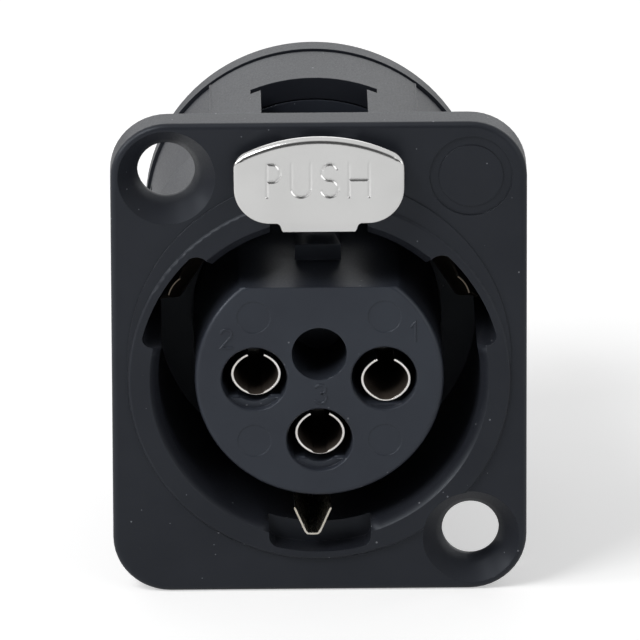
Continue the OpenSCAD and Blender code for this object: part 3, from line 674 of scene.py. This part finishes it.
def make_button(back_steps=6, front_steps=7):
    """A plate with a round top edge, slightly round sides and a back that slopes forwards."""
    points = [Vector(p) for p in button_outline()]
    edges = []
    for before, here, after in zip(points[-1:] + points, points, points[1:] + points[:1]):
        d = (after - before).normalized()
        out = Vector((d.y, -d.x))
        share = min(1.0, max(0.0, (out.y - 0.35) / 0.45))
        round_r = SIDE_ROUND + (TOP_ROUND - SIDE_ROUND) * share * share * (3 - 2 * share)
        round_r += (LOW_ROUND - SIDE_ROUND) * max(0.0, -out.y)
        slope = max(0.0, (PIVOT_Y - here.y) / (PIVOT_Y - BUTTON_LOW))
        edges.append((here, out, round_r, BUTTON_BACK + (BUTTON_T - BUTTON_LOW_T) * slope))
    rings = []
    for i in range(back_steps + 1):
        a = math.radians(90 * i / back_steps)
        rings.append([(*(p - out * r * (1 - math.sin(a))), back + r - r * math.cos(a))
                      for p, out, r, back in edges])
    for i in range(front_steps + 1):
        a = math.radians(90 * i / front_steps)
        rings.append([(*(p - out * r * (1 - math.cos(a))),
                       BUTTON_FRONT - (r + 0.001) + (r + 0.001) * math.sin(a))
                      for p, out, r, back in edges])
    button = loft(rings)
    # The tongue leans back a little from the button's face
    combine(button, extrude_side(TONGUE_W + 2, [
        (BUTTON_FRONT + 1, BUTTON_LOW), (BUTTON_FRONT, BUTTON_LOW),
        (BUTTON_FRONT - TONGUE_LEAN, TONGUE_Y - 0.1), (BUTTON_FRONT + 1, TONGUE_Y - 0.1)]))
    combine(button, block(-TONGUE_W / 2, TONGUE_W / 2, FOOT_LOW, FOOT_TOP, FOOT_BACK,
                          BUTTON_BACK + 0.1), "UNION")
    return button


# Lines of each letter, in shares of its height
LETTERS = {
    "P": [[(0, 0), (0, 1)],
          [(0, 1), (0.16, 1)] + arc(0.16, 0.73, 0.22, 0.27, 90, -90, 12) + [(0, 0.46)]],
    "U": [[(0, 1), (0, 0.28)] + arc(0.275, 0.28, 0.275, 0.28, 180, 360, 16) + [(0.55, 1)]],
    "S": [arc(0.24, 0.755, 0.235, 0.245, 25, 270, 14)
          + arc(0.24, 0.255, 0.25, 0.255, 90, -160, 14)],
    "H": [[(0, 0), (0, 1)], [(0.58, 0), (0.58, 1)], [(0, 0.52), (0.58, 0.52)]],
}
LETTER_PLACES = (("P", -3.24), ("U", -1.71), ("S", 0.15), ("H", 1.87))


def engrave(target):
    """Cuts the button's word as V-shaped grooves."""
    for letter, x in LETTER_PLACES:
        for line in LETTERS[letter]:
            points = [(x + px * LETTER_H, LETTER_Y + py * LETTER_H) for px, py in line]
            combine(target, stroke(points, ((BUTTON_FRONT - LETTER_D, 0.02),
                                            (BUTTON_FRONT + 0.03, 0.33))))


def make_latch():
    latch = make_button()
    neck = BUTTON_FRONT - 0.32
    combine(latch, extrude_side(TONGUE_W - 0.3, [
        (neck - 0.1, TONGUE_Y + 0.06), (-ARM_D, TONGUE_Y + 0.06), (-ARM_D, ARM_TOP),
        (-0.3, ARM_TOP), (0.45, ARM_TOP + 0.6), (0.45, PIVOT_Y),
        (BUTTON_BACK + 0.2, PIVOT_Y + 0.3), (BUTTON_BACK + 0.2, BUTTON_LOW + 0.6),
        (neck - 0.1, BUTTON_LOW + 0.2)]), "UNION")
    combine(latch, rod((0, PIVOT_Y, PIVOT_Z), "x", LUG_R, TONGUE_W), "UNION")
    front = -ARM_D + HOOK_L
    combine(latch, extrude_side(HOOK_W, [
        (front + 1.6, TONGUE_Y + 0.3), (front, HOOK_Y + 0.4), (front - 0.3, HOOK_Y),
        (-ARM_D, HOOK_Y), (-ARM_D, TONGUE_Y + 0.3)]), "UNION")
    combine(latch, rod((0, PIVOT_Y, PIVOT_Z), "x", PIN_HOLE_R, 3 * TONGUE_W))
    combine(latch, block(-LUG_GAP / 2, LUG_GAP / 2, PIVOT_Y - 1.2, PIVOT_Y + 3, -1, BUTTON_BACK))
    engrave(latch)
    return latch


latch = piece("latch_lever", make_latch(), "latch", nickel)
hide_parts("latch")


# Floor, lights, world and camera


def white_surface(name, base, glow, gloss_glow):
    """Pale matt surface: white to the camera, and with its own glow in gloss."""
    mat, tree = empty_material(name)
    ray = add(tree, "ShaderNodeLightPath")
    mirrored = add(tree, "ShaderNodeMath", {"operation": "MAXIMUM"},
                   links={0: (ray, "Is Glossy Ray"), 1: (ray, "Is Transmission Ray")})
    mirrored = add(tree, "ShaderNodeMath", {"operation": "MULTIPLY"}, {1: gloss_glow},
                   {0: (mirrored, "Value")})
    strength = add(tree, "ShaderNodeMath", {"operation": "MULTIPLY_ADD"}, {1: glow},
                   {0: (ray, "Is Camera Ray"), 2: (mirrored, "Value")})
    matt = add(tree, "ShaderNodeBsdfDiffuse", inputs={"Color": colour(base)})
    light = add(tree, "ShaderNodeEmission", links={"Strength": (strength, "Value")})
    both = add(tree, "ShaderNodeAddShader", links={0: (matt, "BSDF"), 1: (light, "Emission")})
    add(tree, "ShaderNodeOutputMaterial", links={"Surface": (both, "Shader")})
    return mat


FLOOR_Z, FLOOR_REACH = cad_box[0].z - 0.02 * MM, 4.0
floor_mesh = bpy.data.meshes.new("floor")
floor_mesh.from_pydata([(x * FLOOR_REACH, y * FLOOR_REACH, FLOOR_Z)
                        for x, y in ((-1, -1), (1, -1), (1, 1), (-1, 1))], [], [(0, 1, 2, 3)])
floor = placed("floor", floor_mesh)
floor.data.materials.append(white_surface("floor_white", "#e6e6e6", 0.45, 0.16))


def softbox(name, place, width, height, watts, aim=(0, 0.01, 0)):
    """A rectangular lamp that looks at the middle of the part."""
    lamp = bpy.data.lights.new(name, "AREA")
    lamp.shape, lamp.size, lamp.size_y, lamp.energy = "RECTANGLE", width, height, watts
    obj = placed(name, lamp)
    obj.location = place
    obj.rotation_mode = "QUATERNION"
    obj.rotation_quaternion = (Vector(aim) - Vector(place)).to_track_quat("-Z", "Y")


softbox("key", (-0.22, -0.20, 0.34), 0.16, 0.16, 0.8)
softbox("left_strip", (-0.31, -0.075, 0.145), 0.09, 0.09, 0.34)
softbox("back_top", (0.0, 0.5, 0.22), 1.2, 0.34, 1.25)
softbox("fill", (0.38, -0.34, 0.12), 0.3, 0.3, 0.25)

# The sky is a white tent; as a light on the part it is weaker than the camera and gloss see it
SKY_LIGHT = 0.4
# Gloss sees a dark opening in its front, where the camera looks in
OPENING_AT, OPENING_RIM, OPENING_FULL, OPENING_DARK = (0.0, -0.95, 0.31), 0.8, 0.93, 0.1
world = bpy.data.worlds.new("studio")
bpy.context.scene.world = world
world.use_nodes = True
sky = world.node_tree
sky.nodes.clear()
ray = add(sky, "ShaderNodeLightPath")
seen = add(sky, "ShaderNodeMath", {"operation": "MAXIMUM"},
           links={0: (ray, "Is Camera Ray"), 1: (ray, "Is Glossy Ray")})
seen = add(sky, "ShaderNodeMath", {"operation": "MAXIMUM"},
           links={0: (seen, "Value"), 1: (ray, "Is Transmission Ray")})
towards = add(sky, "ShaderNodeTexCoord")
facing = add(sky, "ShaderNodeVectorMath", {"operation": "DOT_PRODUCT"}, {1: OPENING_AT},
             {0: (towards, "Generated")})
opening = add(sky, "ShaderNodeMapRange", {"interpolation_type": "SMOOTHSTEP"},
              {"From Min": OPENING_RIM, "From Max": OPENING_FULL, "To Min": 1.0,
               "To Max": OPENING_DARK}, {"Value": (facing, "Value")})
shut = add(sky, "ShaderNodeMath", {"operation": "MAXIMUM"},
           links={0: (opening, "Result"), 1: (ray, "Is Camera Ray")})
level = add(sky, "ShaderNodeMapRange", inputs={"To Min": SKY_LIGHT, "To Max": 1.0},
            links={"Value": (seen, "Value")})
level = add(sky, "ShaderNodeMath", {"operation": "MULTIPLY"},
            links={0: (level, "Result"), 1: (shut, "Value")})
shine = add(sky, "ShaderNodeBackground", links={"Strength": (level, "Value")})
add(sky, "ShaderNodeOutputWorld", links={"Surface": (shine, "Background")})

# The photograph's view: almost square to the front, from a little above, with a very long lens
ELEVATION, AZIMUTH, ROLL = math.radians(19.52), math.radians(0.74), math.radians(-0.21)
DISTANCE, PX_PER_MM, FRAME_PX, SENSOR = 851.7, 15.976, 640, 36.0
# Where the middle of the flange's front lies in the picture, in pixels from its middle
CENTRE_LEFT, CENTRE_DOWN = 320 - 319.34, 358.45 - 320
ahead = Vector((math.sin(AZIMUTH) * math.cos(ELEVATION), math.cos(AZIMUTH) * math.cos(ELEVATION),
                -math.sin(ELEVATION)))
level_right = Vector((math.cos(AZIMUTH), -math.sin(AZIMUTH), 0))
level_up = level_right.cross(ahead)
right = math.cos(ROLL) * level_right + math.sin(ROLL) * level_up
up = math.cos(ROLL) * level_up - math.sin(ROLL) * level_right
flange_front = Vector((0, -FLANGE_T, 0))
aim = flange_front + right * (CENTRE_LEFT / PX_PER_MM) + up * (CENTRE_DOWN / PX_PER_MM)
lens = bpy.data.cameras.new("camera")
lens.lens = PX_PER_MM * DISTANCE * SENSOR / FRAME_PX
lens.sensor_width = SENSOR
lens.clip_start, lens.clip_end = 0.05, 20
camera = placed("camera", lens)
spot = (aim - ahead * DISTANCE) * MM
camera.matrix_world = Matrix.Translation(spot) @ Matrix((right, up, -ahead)).transposed().to_4x4()
bpy.context.scene.camera = camera
bpy.context.scene.view_settings.view_transform = "Standard"
